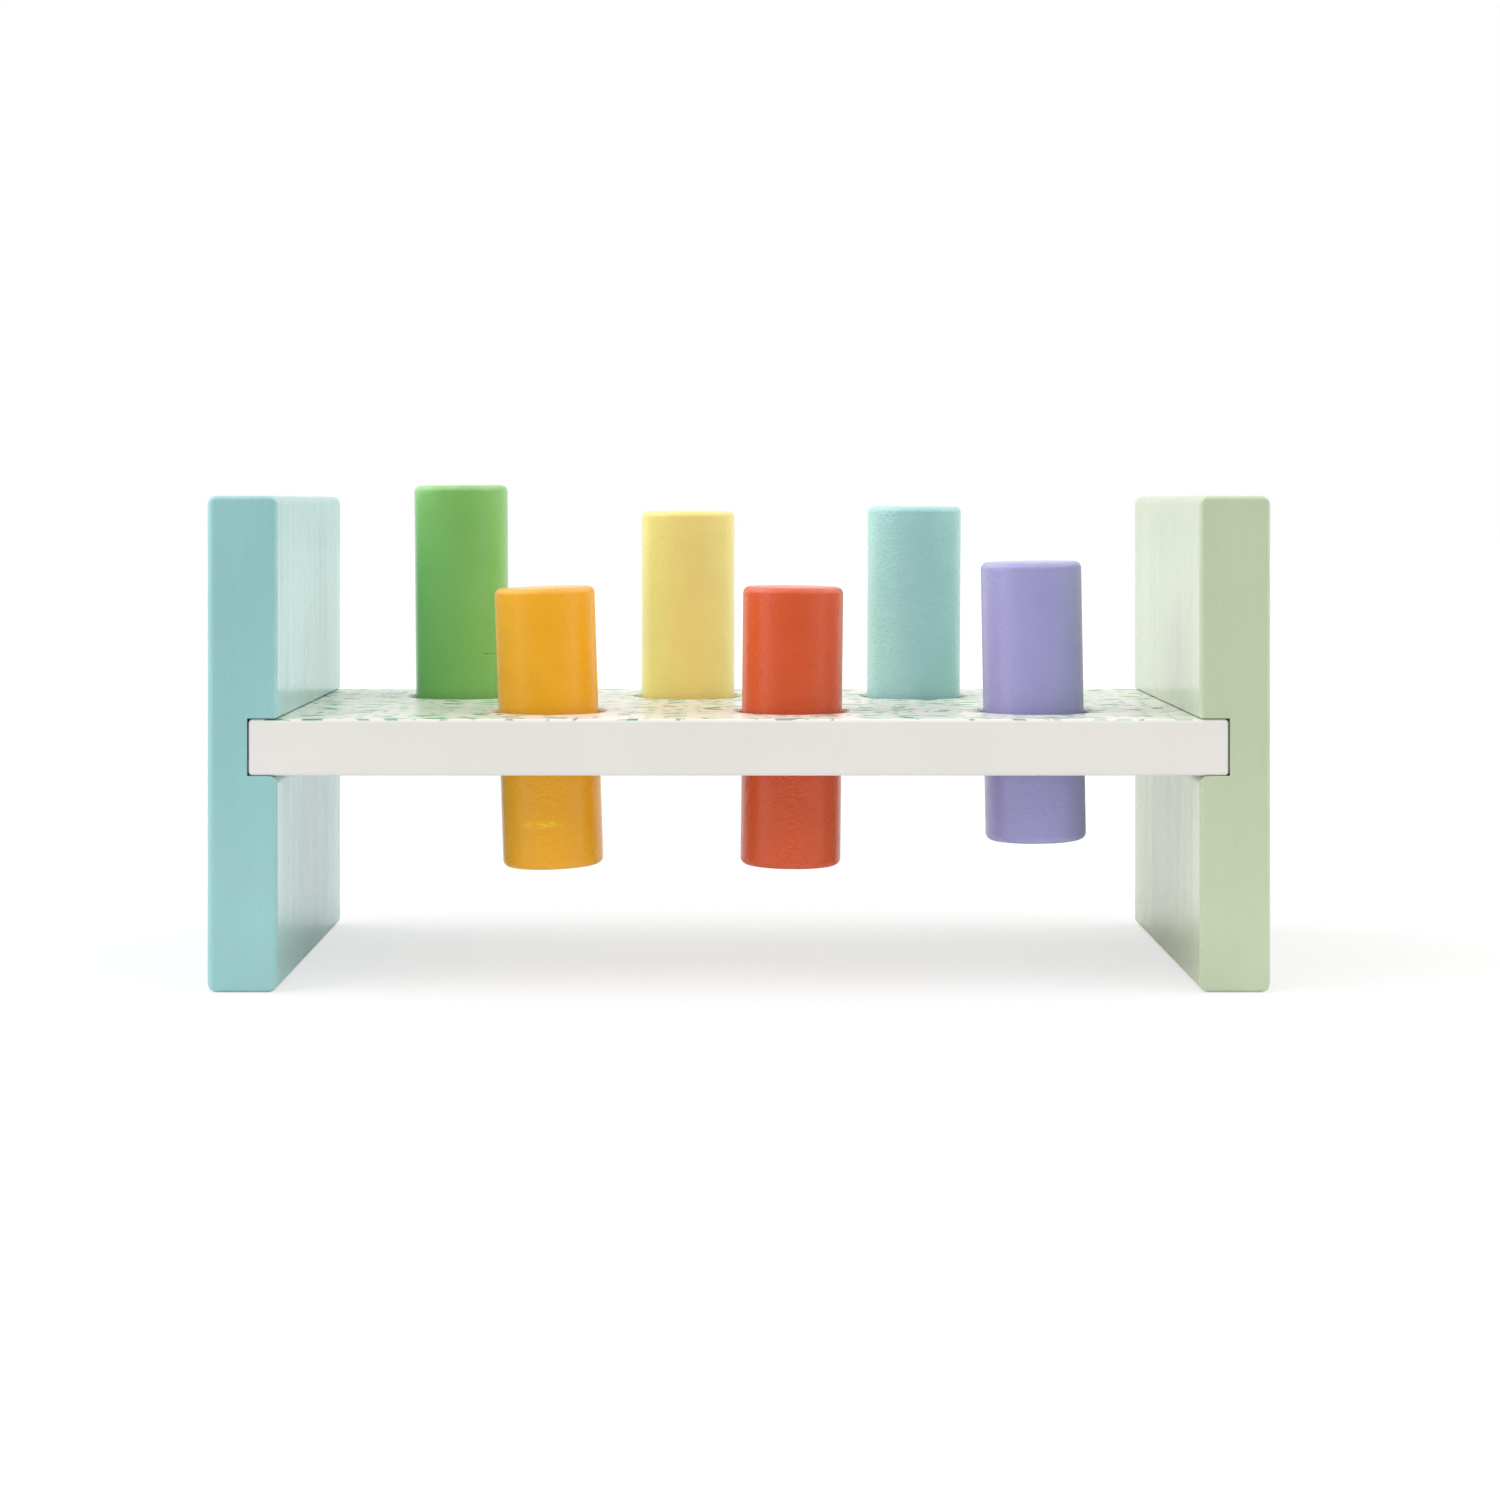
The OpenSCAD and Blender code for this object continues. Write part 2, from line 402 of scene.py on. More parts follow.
def make_peel_group(name):
    """The fine ripple of sprayed paint"""
    tree, given, give = start_group(name, {"Vector": "vector"}, {"Height": "number"})
    fine = tree.noise(given["Vector"], FINE_RIPPLES, 1.0)
    broad = tree.noise(given["Vector"], BROAD_RIPPLES, 1.0)
    give("Height", tree.math("MULTIPLY_ADD", broad, BROAD_HEIGHT, fine))


# How much of a speck's radius is full, before its edge fades
SPECK_CORE = 0.6


def make_speck_group(name):
    """Sparse tiny specks of dust in the paint: Share is how many of the cells hold one"""
    inputs = {"Vector": "vector", "Spacing": "number", "Size": "number", "Share": "number"}
    tree, given, give = start_group(name, inputs, {"Mask": "number"})
    cells = tree.cells(given["Vector"], tree.math("DIVIDE", 1.0, given["Spacing"]))
    pick, size_pick, _ = tree.split_colour(cells["Color"])
    size = tree.math("MULTIPLY", given["Size"], size_pick)
    radius = tree.math("DIVIDE", size, given["Spacing"])
    core = tree.math("MULTIPLY", radius, SPECK_CORE)
    inside = tree.between(cells["Distance"], core, radius, 1.0, 0.0)
    chosen = tree.math("LESS_THAN", pick, given["Share"])
    give("Mask", tree.math("MULTIPLY", inside, chosen))


# Patches of wear per metre, and the values of their noise at which wear begins and is full
WEAR_PATCHES = 140.0
WEAR_SPAN = (0.35, 0.75)


def make_wear_group(name):
    """Rubbed edges of a box, in patches

    Place is a point in the box, Low and High are its corners, and Vector drives the patches.
    """
    inputs = {
        "Vector": "vector", "Place": "vector", "Low": "vector", "High": "vector",
        "Reach": "number",
    }
    tree, given, give = start_group(name, inputs, {"Mask": "number"})
    above = tree.minus(given["Place"], given["Low"])
    below = tree.minus(given["High"], given["Place"])
    depths = tree.split(tree.vector_math("MINIMUM", above, below)["Vector"])
    near = [tree.between(depth, 0.0, given["Reach"], 1.0, 0.0) for depth in depths]
    pairs = [tree.math("MULTIPLY", near[i], near[i - 1]) for i in range(3)]
    edge = tree.math("ADD", tree.math("ADD", pairs[0], pairs[1]), pairs[2], clamp=True)
    patches = tree.between(tree.noise(given["Vector"], WEAR_PATCHES, 4.0, 0.6), *WEAR_SPAN)
    give("Mask", tree.math("MULTIPLY", edge, patches))


# How much of a scuff's reach is full, before it fades
SCUFF_CORE = 0.25

# A scuff's streaks per metre on each axis, and the values of their noise that they fill
SCUFF_STREAKS = (500.0, 500.0, 3000.0)
SCUFF_SPAN = (0.35, 0.6)


def make_scuff_group(name):
    """One scuff, round Centre and as far as Reach to each side, streaked across Z"""
    inputs = {"Vector": "vector", "Centre": "vector", "Reach": "vector"}
    tree, given, give = start_group(name, inputs, {"Mask": "number"})
    offset = tree.minus(given["Vector"], given["Centre"])
    share_of_reach = tree.length(tree.vector_math("DIVIDE", offset, given["Reach"])["Vector"])
    inside = tree.between(share_of_reach, SCUFF_CORE, 1.0, 1.0, 0.0)
    streaks = tree.between(tree.noise(given["Vector"], SCUFF_STREAKS), *SCUFF_SPAN)
    give("Mask", tree.math("MULTIPLY", inside, streaks))


# How far the leaves stray from even rows, where 1 is fully scattered
LEAF_SCATTER = 0.8

# Bits per metre of a leaf's ragged outline; their size and the outline's softness are shares
# of half the leaf's width
LEAF_BITS = 700.0
BIT_SIZE = 0.4
LEAF_SOFTNESS = 0.2


def make_leaf_group(name):
    """One scatter of printed leaves in the plane of X and Y, pointed at both ends"""
    inputs = {
        "Vector": "vector", "Spacing": "number", "Length": "number", "Width": "number",
        "Turn": "number", "Spread": "number", "Share": "number",
    }
    tree, given, give = start_group(name, inputs, {"Mask": "number", "Pick": "number"})
    per_metre = tree.math("DIVIDE", 1.0, given["Spacing"])
    scaled = tree.scaled(given["Vector"], per_metre)
    cells = tree.cells(scaled, 1.0, LEAF_SCATTER, "2D")
    chosen, turned, pick = tree.split_colour(cells["Color"])
    off_middle = tree.math("SUBTRACT", turned, 0.5)
    rotate = tree.add("ShaderNodeVectorRotate", rotation_type="Z_AXIS")
    tree.feed_all(rotate, {
        "Vector": tree.scaled(tree.minus(scaled, cells["Position"]), given["Spacing"]),
        "Angle": tree.math("MULTIPLY_ADD", off_middle, given["Spread"], given["Turn"]),
    })
    along, across, _ = tree.split(rotate.outputs["Vector"])
    along = tree.math("DIVIDE", along, tree.math("MULTIPLY", given["Length"], 0.5))
    across = tree.math("DIVIDE", across, tree.math("MULTIPLY", given["Width"], 0.5))
    bits = tree.math("SUBTRACT", tree.noise(given["Vector"], LEAF_BITS), 0.5)
    ragged = tree.math("ADD", across, tree.math("MULTIPLY", bits, BIT_SIZE))
    half_width = tree.math("SUBTRACT", 1.0, tree.math("MULTIPLY", along, along))
    inside = tree.math("SUBTRACT", half_width, tree.math("ABSOLUTE", ragged))
    leaf = tree.between(inside, 0.0, LEAF_SOFTNESS)
    give("Mask", tree.math("MULTIPLY", leaf, tree.math("LESS_THAN", chosen, given["Share"])))
    give("Pick", pick)


GROUP_MAKERS = {
    "Wood Grain": make_grain_group,
    "Orange Peel": make_peel_group,
    "Specks": make_speck_group,
    "Edge Wear": make_wear_group,
    "Scuff": make_scuff_group,
    "Leaf Print": make_leaf_group,
}


# Materials

# Refraction of each surface, which sets how strongly it mirrors
PAINT_IOR = 1.45
BOARD_IOR = 1.5
LACQUER_IOR = 1.2
RUBBER_IOR = 1.5
WOOD_IOR = 1.45

# How much each paint's colour varies in soft patches, and the patches per metre
BOARD_VARIETY = 0.025
DECK_VARIETY = 0.012
PEG_VARIETY = 0.03
SOFT_PATCHES = 45.0
PEG_PATCHES = 60.0

# Spacing and size of each paint's specks, the share of places that hold one, and their
# brightness against the paint
SPECKS = {
    "board": (14 * MM, 0.35 * MM, 0.16, 0.55),
    "peg": (9 * MM, 0.3 * MM, 0.22, 0.5),
    "deck": (12 * MM, 0.3 * MM, 0.2, 0.6),
}

# The colour that rubbed paint turns to, how far it usually does, and how much rougher it gets.
# On the pegs' rims that pale colour also stands for a painted highlight
WORN_AND_HIGHLIGHT_COLOUR = (0.9, 0.88, 0.84)
WORN_PALENESS = 0.1
WORN_ROUGHENING = 0.15

# How far wear reaches from the edges of the boards and the deck, and how far wear and a painted
# highlight reach from the pegs' rims
BOARD_WEAR = 1.6 * MM
RIM_WEAR_AND_HIGHLIGHT_REACH = 1.8 * MM

# How much smoother and rougher the satin paints are in places
SMOOTHER = 0.02
BOARD_ROUGHER = 0.03
PEG_ROUGHER = 0.04


def start_material(name, ior):
    """A material with a Principled shader; returns its tree and that shader's inputs"""
    material = bpy.data.materials.new(name)
    tree = blank_tree(material)
    shader = tree.add("ShaderNodeBsdfPrincipled")
    shader.inputs["IOR"].default_value = ior
    output = tree.add("ShaderNodeOutputMaterial")
    tree.feed(output.inputs["Surface"], shader.outputs["BSDF"])
    return material, tree, shader.inputs


def bump(tree, shader, height, depth):
    """Makes the surface look raised by the height times the depth"""
    node = tree.add("ShaderNodeBump")
    tree.feed_all(node, {"Distance": depth, "Height": height})
    tree.feed(shader["Normal"], node.outputs["Normal"])


def toned(base, brightness):
    """A colour made brighter or darker, with each channel at most 1"""
    return tuple(min(1.0, channel * brightness) for channel in base)


def varied(tree, point, base, amount, patches_per_metre=SOFT_PATCHES):
    """The base colour, a little lighter and darker in soft patches"""
    patches = tree.noise(point, patches_per_metre, 3.0)
    lighter = tree.between(patches, *MOST_OF_NOISE)
    return tree.mix(lighter, toned(base, 1.0 - amount), toned(base, 1.0 + amount))


def specked(tree, point, fresh, base, kind):
    """The fresh colour with sparse specks, which are darker than the base colour"""
    spacing, size, some, brightness = SPECKS[kind]
    specks = tree.group("Specks", Vector=point, Spacing=spacing, Size=size, Share=some)
    return tree.mix(specks["Mask"], fresh, toned(base, brightness))


def worn_and_highlighted(tree, shader, fresh, roughness, wear, paleness=WORN_PALENESS):
    """Feeds the shader the fresh colour and roughness, paler and duller under the mask"""
    # The mask is rubbed paint; on the pegs' rims its paleness is also a painted highlight
    paled = tree.math("MULTIPLY", wear, paleness)
    tree.feed(shader["Base Color"], tree.mix(paled, fresh, WORN_AND_HIGHLIGHT_COLOUR))
    tree.feed(shader["Roughness"], tree.math("MULTIPLY_ADD", wear, WORN_ROUGHENING, roughness))


def board_wear(tree, point, node):
    """Wear of the edges of the box that a CAD node fills"""
    low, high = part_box(node)
    wear = tree.group("Edge Wear", Vector=point, Place=point, Low=low, High=high, Reach=BOARD_WEAR)
    return wear["Mask"]


# Darker streaks along the grain: the bands' values that they fill, their strength and brightness
STREAK_SPAN = (0.35, 0.75)
STREAK_STRENGTH = 0.25
STREAK_BRIGHTNESS = 0.93

# Height of the orange peel in the boards' paint, against their grain
BOARD_PEEL = 0.3


def board_paint(name, base, node):
    """Satin paint over a board whose grain shows faintly along Z"""
    usual = settings().finish.board_roughness
    material, tree, shader = start_material(name, BOARD_IOR)
    point = tree.object_point()
    grain = tree.group("Wood Grain", Vector=point)
    peel = tree.group("Orange Peel", Vector=point)["Height"]
    streaks = tree.between(grain["Band"], *STREAK_SPAN, 0.0, STREAK_STRENGTH)
    body = varied(tree, point, base, BOARD_VARIETY)
    streaked = tree.mix(streaks, body, toned(base, STREAK_BRIGHTNESS))
    fresh = specked(tree, point, streaked, base, "board")
    rough = tree.between(grain["Band"], *MOST_OF_NOISE, usual - SMOOTHER, usual + BOARD_ROUGHER)
    worn_and_highlighted(tree, shader, fresh, rough, board_wear(tree, point, node))
    height = tree.math("MULTIPLY_ADD", peel, BOARD_PEEL, grain["Height"])
    bump(tree, shader, height, settings().finish.grain_depth)
    return material


PEG_SCUFFS = {
    # Place from the peg's middle, reach to each side, and brightness against the paint
    "orange": ((-1.8 * MM, -11.0 * MM, -20.5 * MM), (6.5 * MM, 5.0 * MM, 1.2 * MM), 1.5),
    "green": ((7.0 * MM, -8.5 * MM, -8.9 * MM), (2.0 * MM, 4.0 * MM, 0.3 * MM), 0.5),
}

# How deep the orange peel of each peg's paint is, against the depth in the settings
PEEL_SHARE = {
    "green": 0.6, "yellow": 0.9, "turquoise": 1.6, "orange": 1.2, "red": 1.1, "purple": 1.1,
}

# How pale each peg's rims get, as rubbed paint and as a painted highlight along the rim
RIM_PALENESS_AND_HIGHLIGHT = {
    "green": 0.3, "yellow": 0.1, "turquoise": 0.2, "orange": 0.08, "red": 0.03, "purple": 0.25,
}

# Rings that turning left round a peg: their noise's details per metre, and their height
# against the orange peel
TURNING_RINGS = (30.0, 30.0, 700.0)
RING_HEIGHT = 0.04

# Smoother and rougher clouds per metre of the pegs' paint
PEG_CLOUDS = 120.0

# Farther away than any edge that could count as worn
FAR = 1.0


def rim_wear_and_highlight(tree, own, half_length, radius):
    """Wear and a painted highlight on the rims, which lie where the peg's side meets its ends"""
    along = tree.split(own)[2]
    place = tree.add("ShaderNodeCombineXYZ")
    from_axis = tree.length(tree.scaled(own, (1.0, 1.0, 0.0)))
    tree.feed_all(place, {"X": from_axis, "Z": along})
    wear = tree.group(
        "Edge Wear", Vector=own, Place=place.outputs["Vector"], Low=(-FAR, -FAR, -half_length),
        High=(radius, FAR, half_length), Reach=RIM_WEAR_AND_HIGHLIGHT_REACH,
    )
    return wear["Mask"]


def peg_paint(name, base, to_peg, long, radius):
    """Satin paint over a turned peg, with a fine ripple and rims rubbed a little by the hammer and
    given a painted highlight
    """
    usual = settings().finish.paint_roughness
    material, tree, shader = start_material(f"{name}_paint", PAINT_IOR)
    mapping = tree.add("ShaderNodeMapping", vector_type="TEXTURE")
    tree.feed_all(mapping, {
        "Vector": tree.object_point(), "Location": to_peg.to_translation(),
        "Rotation": to_peg.to_euler(),
    })
    own = mapping.outputs["Vector"]
    rings = tree.noise(own, TURNING_RINGS, 0.0)
    peel = tree.group("Orange Peel", Vector=own)["Height"]
    body = varied(tree, own, base, PEG_VARIETY, PEG_PATCHES)
    fresh = specked(tree, own, body, base, "peg")
    if name in PEG_SCUFFS:
        centre, reach, brightness = PEG_SCUFFS[name]
        scuff = tree.group("Scuff", Vector=own, Centre=centre, Reach=reach)["Mask"]
        fresh = tree.mix(scuff, fresh, toned(base, brightness))
    clouds = tree.noise(own, PEG_CLOUDS)
    rough = tree.between(clouds, *MOST_OF_NOISE, usual - SMOOTHER, usual + PEG_ROUGHER)
    # Paler rims: rubbed paint, and a painted highlight whose strength differs from peg to peg
    worn_and_highlighted(tree, shader, fresh, rough, rim_wear_and_highlight(tree, own, long / 2, radius), RIM_PALENESS_AND_HIGHLIGHT[name])
    height = tree.math("MULTIPLY_ADD", rings, RING_HEIGHT, peel)
    bump(tree, shader, height, settings().finish.peel_depth * PEEL_SHARE[name])
    return material


PRINT_LAYERS = (
    # Offset, spacing, length, width, turn, spread, share of the cells
    ((0.013, 0.043, 0.0), 3.6 * MM, 2.6 * MM, 1.3 * MM, 0.2, 6.2, 0.50),
    ((0.031, 0.017, 0.0), 5.6 * MM, 4.4 * MM, 1.7 * MM, 0.3, 2.6, 0.55),
    ((0.000, 0.000, 0.0), 8.4 * MM, 7.0 * MM, 2.6 * MM, 0.0, 2.4, 0.55),
)

# Share of a print layer's leaves that have its usual colour
USUAL_INK = 0.62

# How far under the deck's top the print ends, and how far under it the print is full
PRINT_END = 0.45 * MM
PRINT_FULL = 0.15 * MM

# How deep the deck's orange peel is, against the depth in the settings
DECK_PEEL = 0.15


def deck_print(tree, point):
    """A scatter of small leaves and dashes on the print's ground"""
    sizes = settings().deck
    inks = (
        (sizes.dash_grey, sizes.leaf_pale),
        (sizes.leaf_pale, sizes.leaf_grey),
        (sizes.leaf_grey, sizes.leaf_green),
    )
    printed = varied(tree, point, sizes.print_ground, DECK_VARIETY)
    for layer, (usual, rare) in zip(PRINT_LAYERS, inks):
        offset, spacing, long, wide, turn, spread, some = layer
        leaves = tree.group(
            "Leaf Print", Vector=tree.vector_math("ADD", point, offset)["Vector"],
            Spacing=spacing, Length=long, Width=wide, Turn=turn, Spread=spread, Share=some,
        )
        ink = tree.mix(tree.math("GREATER_THAN", leaves["Pick"], USUAL_INK), usual, rare)
        printed = tree.mix(leaves["Mask"], printed, ink)
    return printed


def deck_lacquer():
    """White satin lacquer, a little rougher on top, over the print"""
    sizes = settings().deck
    finish = settings().finish
    material, tree, shader = start_material("white_lacquer", LACQUER_IOR)
    point = tree.object_point()
    _, _, height = tree.split(point)
    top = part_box("bench_board")[1].z
    on_top = tree.between(height, top - PRINT_END, top - PRINT_FULL)
    plain = varied(tree, point, sizes.lacquer, DECK_VARIETY)
    shown = tree.mix(on_top, plain, deck_print(tree, point))
    fresh = specked(tree, point, shown, sizes.lacquer, "deck")
    rough = tree.between(on_top, 0.0, 1.0, finish.paint_roughness, finish.lacquer_roughness)
    worn_and_highlighted(tree, shader, fresh, rough, board_wear(tree, point, "bench_board"))
    peel = tree.group("Orange Peel", Vector=point)["Height"]
    bump(tree, shader, peel, finish.peel_depth * DECK_PEEL)
    return material


# The rubber's bloom: patches per metre, the values of their noise that it fills, and its
# brightness against the rubber
BLOOM_PATCHES = 300.0
BLOOM_SPAN = (0.45, 0.8)
BLOOM_BRIGHTNESS = 1.9

# The rubber's roughness over a span of the same noise, its pits per metre and their depth
DULL_SPAN = (0.3, 0.8)
RUBBER_ROUGHNESS = (0.5, 0.72)
RUBBER_PITS = 2500.0
PIT_DEPTH = 0.01 * MM


def ring_rubber():
    """Matt black rubber with a slight bloom"""
    base = settings().finish.rubber_colour
    material, tree, shader = start_material("grip_rubber", RUBBER_IOR)
    point = tree.object_point()
    bloom = tree.noise(point, BLOOM_PATCHES, 3.0)
    bloomed = tree.between(bloom, *BLOOM_SPAN)
    tree.feed(shader["Base Color"], tree.mix(bloomed, base, toned(base, BLOOM_BRIGHTNESS)))
    tree.feed(shader["Roughness"], tree.between(bloom, *DULL_SPAN, *RUBBER_ROUGHNESS))
    bump(tree, shader, tree.noise(point, RUBBER_PITS), PIT_DEPTH)
    return material


# Dark grain of the bare wood: the grain's heights that it fills, and its brightness
DARK_SPAN = (0.45, 0.85)
DARK_BRIGHTNESS = 0.72

# Roughness of the bare wood over a span of the grain's bands, and how deep its grain is
BAND_SPAN = (0.2, 0.8)
WOOD_ROUGHNESS = (0.5, 0.7)
WOOD_DEPTH = 0.05 * MM


def dowel_wood():
    """Bare wood with its grain along the dowel"""
    base = settings().finish.wood_colour
    material, tree, shader = start_material("bare_wood", WOOD_IOR)
    turn = tree.add("ShaderNodeVectorRotate", rotation_type="Y_AXIS")
    tree.feed_all(turn, {"Vector": tree.object_point(), "Angle": math.radians(90)})
    grain = tree.group("Wood Grain", Vector=turn.outputs["Vector"])
    dark = tree.between(grain["Height"], *DARK_SPAN)
    tree.feed(shader["Base Color"], tree.mix(dark, base, toned(base, DARK_BRIGHTNESS)))
    tree.feed(shader["Roughness"], tree.between(grain["Band"], *BAND_SPAN, *WOOD_ROUGHNESS))
    bump(tree, shader, grain["Height"], WOOD_DEPTH)
    return material


# Pieces

# Steps in the full turn that a peg or a hole is spun through
TURN_STEPS = 128

# Steps in the rounded edges of the deck and of the pegs' rims
DECK_EDGE_STEPS = 6
RIM_STEPS = 10

# Two points closer than this lie in the same place
CLOSE = 0.001 * MM

# Digits of a place in metres that tell one corner of a board from another
CORNER_DIGITS = 6

# Faces that meet at a greater angle than this keep a sharp edge
SHARP_ANGLE = math.radians(40)

# How strongly a large face sets the shading of its edges; the modifier takes up to 100
FLAT_FACE_WEIGHT = 100


def add_object(name, data):
    """Puts a new object in the scene"""
    thing = bpy.data.objects.new(name, data)
    bpy.context.scene.collection.objects.link(thing)
    return thing


def add_mesh_object(name, shape):
    """Turns a filled bmesh into a mesh object in the scene"""
    mesh = bpy.data.meshes.new(name)
    shape.to_mesh(mesh)
    shape.free()
    return add_object(name, mesh)


def dress(piece, material):
    """Puts a material in a piece's only slot, or in all the slots of a CAD node"""
    slots = piece.material_slots
    if not slots:
        piece.data.materials.append(material)
    for slot in slots:
        slot.material = material


def finish_piece(name, shape, material, body, node):
    """Makes a piece of a filled bmesh, which stands for a CAD node and rides on its body"""
    bmesh.ops.recalc_face_normals(shape, faces=shape.faces)
    piece = add_mesh_object(name, shape)
    piece.data.shade_smooth()
    piece.data.set_sharp_from_angle(angle=SHARP_ANGLE)
    dress(piece, material)
    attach(piece, body)
    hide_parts(node)
    return piece


def flat_shading(piece):
    """Keeps large flat faces looking flat beside rounded edges"""
    modifier = piece.modifiers.new("flat faces", "WEIGHTED_NORMAL")
    modifier.keep_sharp = True
    modifier.weight = FLAT_FACE_WEIGHT


def round_edges(shape, edges, radius, steps):
    bmesh.ops.bevel(
        shape, geom=edges, offset=radius, segments=steps, profile=0.5,
        affect="EDGES", material=-1,
    )


def spin_outline(shape, outline, centre):
    """Spins an outline of radii and heights about the upright axis through centre"""
    points = [shape.verts.new((centre.x + radius, centre.y, z)) for radius, z in outline]
    edges = [shape.edges.new(pair) for pair in zip(points, points[1:])]
    bmesh.ops.spin(
        shape, geom=points + edges, cent=centre, axis=(0, 0, 1), dvec=(0, 0, 0),
        angle=math.tau, steps=TURN_STEPS, use_merge=True, use_duplicate=False,
    )


def end_board_shape(node, side):
    """A board's outline with the housing, seen from the front, extruded over the bench's depth

    The side is -1 for the left board and 1 for the right one.
    """
    sizes = settings().boards
    low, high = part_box(node)
    deck_low, deck_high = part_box("bench_board")
    if side > 0:
        inner, outer, floor = low.x, high.x, deck_high.x + sizes.deck_end_gap
    else:
        inner, outer, floor = high.x, low.x, deck_low.x - sizes.deck_end_gap
    ceiling = deck_high.z + sizes.deck_top_gap
    # Weights of the edges, as shares of the edge rounding
    sharp, soft = 0.0, 1.0
    face = sizes.face_rounding / sizes.edge_rounding
    crisp = sizes.housing_edge / sizes.edge_rounding
    upper_lip = sizes.upper_lip / sizes.edge_rounding
    lower_lip = sizes.lower_lip / sizes.edge_rounding
    # Each corner with the weight of its edge from front to back, and of the front edge after it
    corners = (
        ((inner, low.z), soft, face),
        ((outer, low.z), soft, face if side > 0 else soft),
        ((outer, high.z), soft, face),
        ((inner, high.z), soft, face),
        ((inner, ceiling), upper_lip, crisp),
        ((floor, ceiling), sharp, crisp),
        ((floor, deck_low.z), sharp, crisp),
        ((inner, deck_low.z), lower_lip, face),
    )
    shape = bmesh.new()
    weight = shape.edges.layers.float.new("bevel_weight_edge")
    front = [shape.verts.new((x, low.y, z)) for (x, z), _, _ in corners]
    outline = shape.faces.new(front)
    for edge, (_, _, along) in zip(outline.edges, corners):
        edge[weight] = along
    made = bmesh.ops.extrude_face_region(shape, geom=[outline], use_keep_orig=True)["geom"]
    back = [item for item in made if isinstance(item, bmesh.types.BMVert)]
    bmesh.ops.translate(shape, verts=back, vec=(0, high.y - low.y, 0))
    across_at = {
        (round(x, CORNER_DIGITS), round(z, CORNER_DIGITS)): across for (x, z), across, _ in corners
    }
    for edge in shape.edges:
        first, second = (vert.co for vert in edge.verts)
        if abs(first.y - second.y) > MM:
            edge[weight] = across_at[round(first.x, CORNER_DIGITS), round(first.z, CORNER_DIGITS)]
    return shape


def add_hole(shape, ring_low, ring_high):
    """Spins a hole's wall with its chamfered mouths and the groove of its ring"""
    sizes = settings().deck
    low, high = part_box("bench_board")
    mouth = sizes.hole_radius + sizes.hole_chamfer
    groove = (ring_high.x - ring_low.x) / 2 - sizes.ring_squeeze
    wall = (
        (mouth, high.z),
        (sizes.hole_radius, high.z - sizes.hole_chamfer),
        (sizes.hole_radius, ring_high.z + sizes.groove_room),
        (groove, ring_high.z + sizes.groove_room),
        (groove, ring_low.z - sizes.groove_room),
        (sizes.hole_radius, ring_low.z - sizes.groove_room),
        (sizes.hole_radius, low.z + sizes.hole_chamfer),
        (mouth, low.z),
    )
    spin_outline(shape, wall, (ring_low + ring_high) / 2)


def deck_shape():
    """A board with rounded edges, whose top and underside are filled round the six holes"""
    sizes = settings().deck
    low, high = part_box("bench_board")
    shape = bmesh.new()
    place = Matrix.Translation((low + high) / 2) @ Matrix.Diagonal((*(high - low), 1.0))
    bmesh.ops.create_cube(shape, size=1.0, matrix=place)
    round_edges(shape, shape.edges[:], sizes.edge_rounding, DECK_EDGE_STEPS)
    half_top = (high.x - low.x) * (high.y - low.y) / 2
    flats = [face for face in shape.faces if face.calc_area() > half_top]
    bmesh.ops.delete(shape, geom=flats, context="FACES_ONLY")
    for name in PEG_NAMES:
        add_hole(shape, *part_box(f"{name}_peg_ring"))
    for level in (low.z, high.z):
        rims = [
            edge for edge in shape.edges
            if edge.is_boundary and all(abs(vert.co.z - level) < CLOSE for vert in edge.verts)
        ]
        bmesh.ops.triangle_fill(shape, use_beauty=True, use_dissolve=False, edges=rims)
    return shape


def peg_place(name):
    """The peg's own frame, whose Z is the axis that it slides on, its length and its radius"""
    joint = next(joint for joint in frame["joints"] if joint["child"] == f"{name}_peg")
    axis = Vector(joint["axis"]).normalized()
    low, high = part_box(f"{name}_peg")
    middle = (low + high) / 2
    along = [(vert.co - middle).dot(axis) for vert in frame["nodes"][f"{name}_peg"].data.vertices]
    lean = Vector((0, 0, 1)).rotation_difference(axis).to_matrix().to_4x4()
    # Pegs lean only to the side, so their depth is their true width
    return Matrix.Translation(middle) @ lean, max(along) - min(along), (high.y - low.y) / 2


def peg_shape(place, long, radius):
    """Spins a peg's side and ends, rounds both rims and leans it into its place"""
    sizes = settings().pegs
    shape = bmesh.new()
    inside = radius - sizes.end_rounding - sizes.rim_margin
    ends = ((0, -1), (inside, -1), (radius, -1), (radius, 1), (inside, 1), (0, 1))
    outline = [(across, end * long / 2) for across, end in ends]
    spin_outline(shape, outline, Vector())
    bmesh.ops.remove_doubles(shape, verts=shape.verts, dist=CLOSE)
    rims = [
        edge for edge in shape.edges
        if all(vert.co.xy.length > radius - CLOSE for vert in edge.verts)
        and abs(edge.verts[0].co.z - edge.verts[1].co.z) < CLOSE
    ]
    round_edges(shape, rims, sizes.end_rounding, RIM_STEPS)
    bmesh.ops.transform(shape, matrix=place, verts=shape.verts)
    return shape


# Operators

